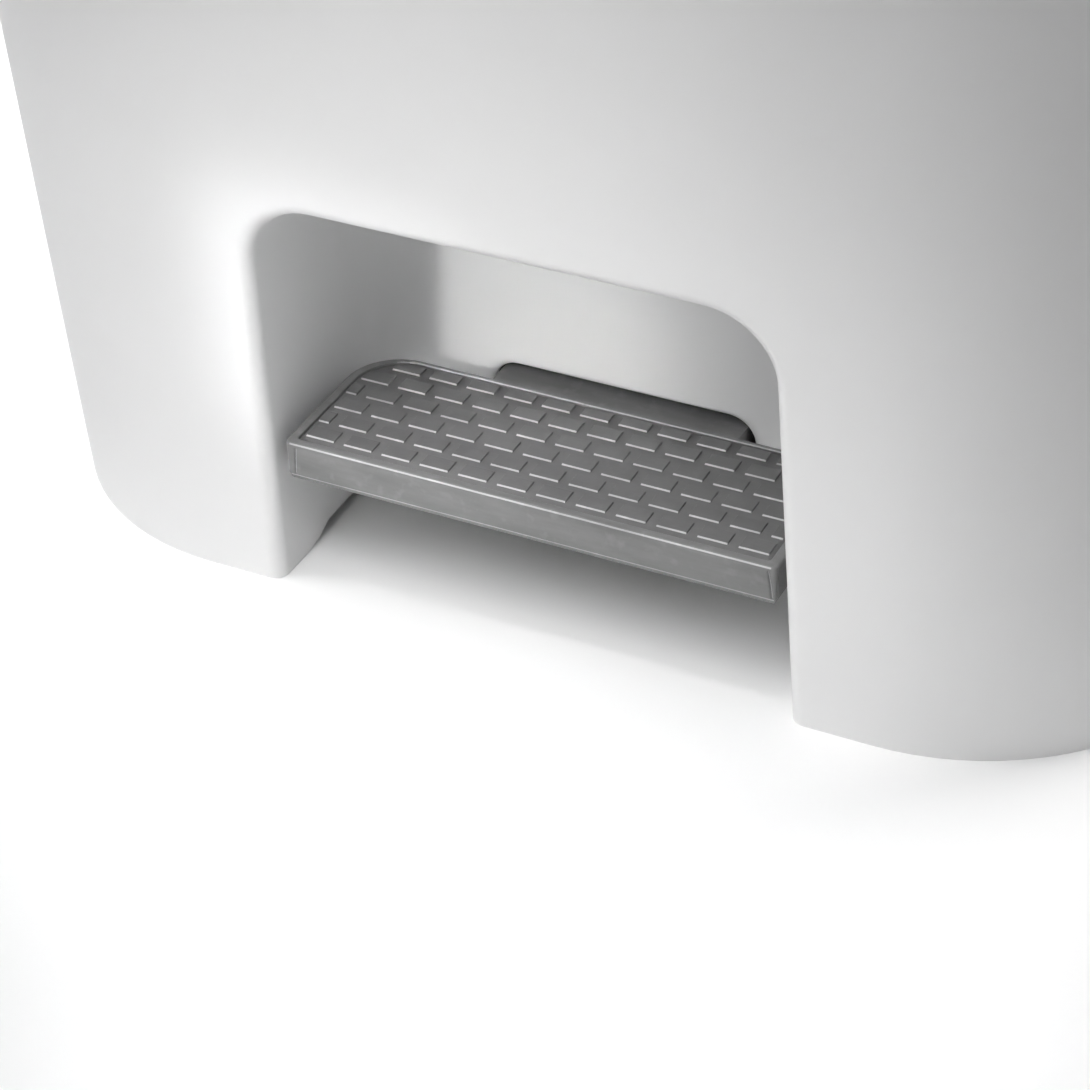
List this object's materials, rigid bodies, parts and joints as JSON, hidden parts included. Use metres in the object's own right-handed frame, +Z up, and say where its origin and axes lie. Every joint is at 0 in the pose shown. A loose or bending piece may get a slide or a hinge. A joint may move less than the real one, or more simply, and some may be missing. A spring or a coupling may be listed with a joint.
{
  "type": "pedal trash can",
  "caption": "Step-on trash can: tapered plastic body with a foot recess, hanging liner, and a pedal whose lift rod raises the hinged lid.",
  "frame": {"origin": "middle of the footprint, on the floor", "axes": "+Z up, +Y to the back (the pedal is at -Y), +X to the right as seen from the front"},
  "size_m": [0.4196, 0.3868, 0.6],
  "materials": {
    "body_white": "fine satin moulded plastic",
    "pedal_grey": "semi-gloss grey, faintly mottled",
    "liner_grey": "satin moulded plastic",
    "dark_plastic": "satin moulded plastic",
    "nylon": "natural nylon",
    "zinc_steel": "bright zinc plate",
    "rubber": "matte black rubber"
  },
  "bodies": {
    "can": {"axle_clip_left": "zinc_steel", "axle_clip_right": "zinc_steel", "base_plate": "dark_plastic", "base_screw_1": "zinc_steel", "base_screw_2": "zinc_steel", "base_screw_3": "zinc_steel", "base_screw_4": "zinc_steel", "body_shell": "body_white", "bracket_screw_1": "zinc_steel", "bracket_screw_2": "zinc_steel", "bracket_screw_3": "zinc_steel", "bracket_screw_4": "zinc_steel", "foot_pad_1": "rubber", "foot_pad_2": "rubber", "foot_pad_3": "rubber", "foot_pad_4": "rubber", "guide_screw_lower": "zinc_steel", "guide_screw_upper": "zinc_steel", "hinge_bracket": "body_white", "hinge_pin": "zinc_steel", "hinge_screw_1": "zinc_steel", "hinge_screw_2": "zinc_steel", "hinge_screw_3": "zinc_steel", "hinge_screw_4": "zinc_steel", "inner_liner": "liner_grey", "pedal_axle": "zinc_steel", "pin_cap_left": "nylon", "pin_cap_right": "nylon", "pivot_bracket": "zinc_steel", "rod_guide_lower": "nylon", "rod_guide_upper": "nylon"},
    "pedal": {"pedal_arm": "pedal_grey", "pedal_bushing_left": "nylon", "pedal_bushing_right": "nylon", "pedal_tread": "pedal_grey", "tread_screw_1": "zinc_steel", "tread_screw_2": "zinc_steel", "tread_screw_3": "zinc_steel", "tread_screw_4": "zinc_steel"},
    "lift_rod": {"lift_rod": "zinc_steel", "rod_clip_lower": "nylon", "rod_clip_upper": "nylon"},
    "lid": {"lever_screw_1": "zinc_steel", "lever_screw_2": "zinc_steel", "lid_arm_left": "body_white", "lid_arm_right": "body_white", "lid_arm_screw_left_1": "zinc_steel", "lid_arm_screw_left_2": "zinc_steel", "lid_arm_screw_right_1": "zinc_steel", "lid_arm_screw_right_2": "zinc_steel", "lid_bumper_left": "rubber", "lid_bumper_right": "rubber", "lid_inner_panel": "body_white", "lid_lever": "dark_plastic", "lid_shell": "body_white", "panel_screw_1": "zinc_steel", "panel_screw_2": "zinc_steel", "panel_screw_3": "zinc_steel", "panel_screw_4": "zinc_steel"}
  },
  "joints": [
    {"name": "lid_hinge", "type": "hinge", "parent": "can", "child": "lid", "pos_m": [0, 0.1869, 0.54], "axis": [-1, 0, 0], "range_deg": [0, 70]},
    {"name": "pedal_pivot", "type": "hinge", "parent": "can", "child": "pedal", "pos_m": [0, -0.0383, 0.042], "axis": [1, 0, 0], "range_deg": [0, 12.87]},
    {"name": "rod_slide", "type": "slide", "parent": "can", "child": "lift_rod", "axis": [0, 0, 1], "range_m": [0, 0.0437]}
  ],
  "couplings": [
    {"joint": "pedal_pivot", "follows": "lid_hinge", "ratio": 0.18308},
    {"joint": "rod_slide", "follows": "lid_hinge", "m_per_rad": 0.03568}
  ]
}
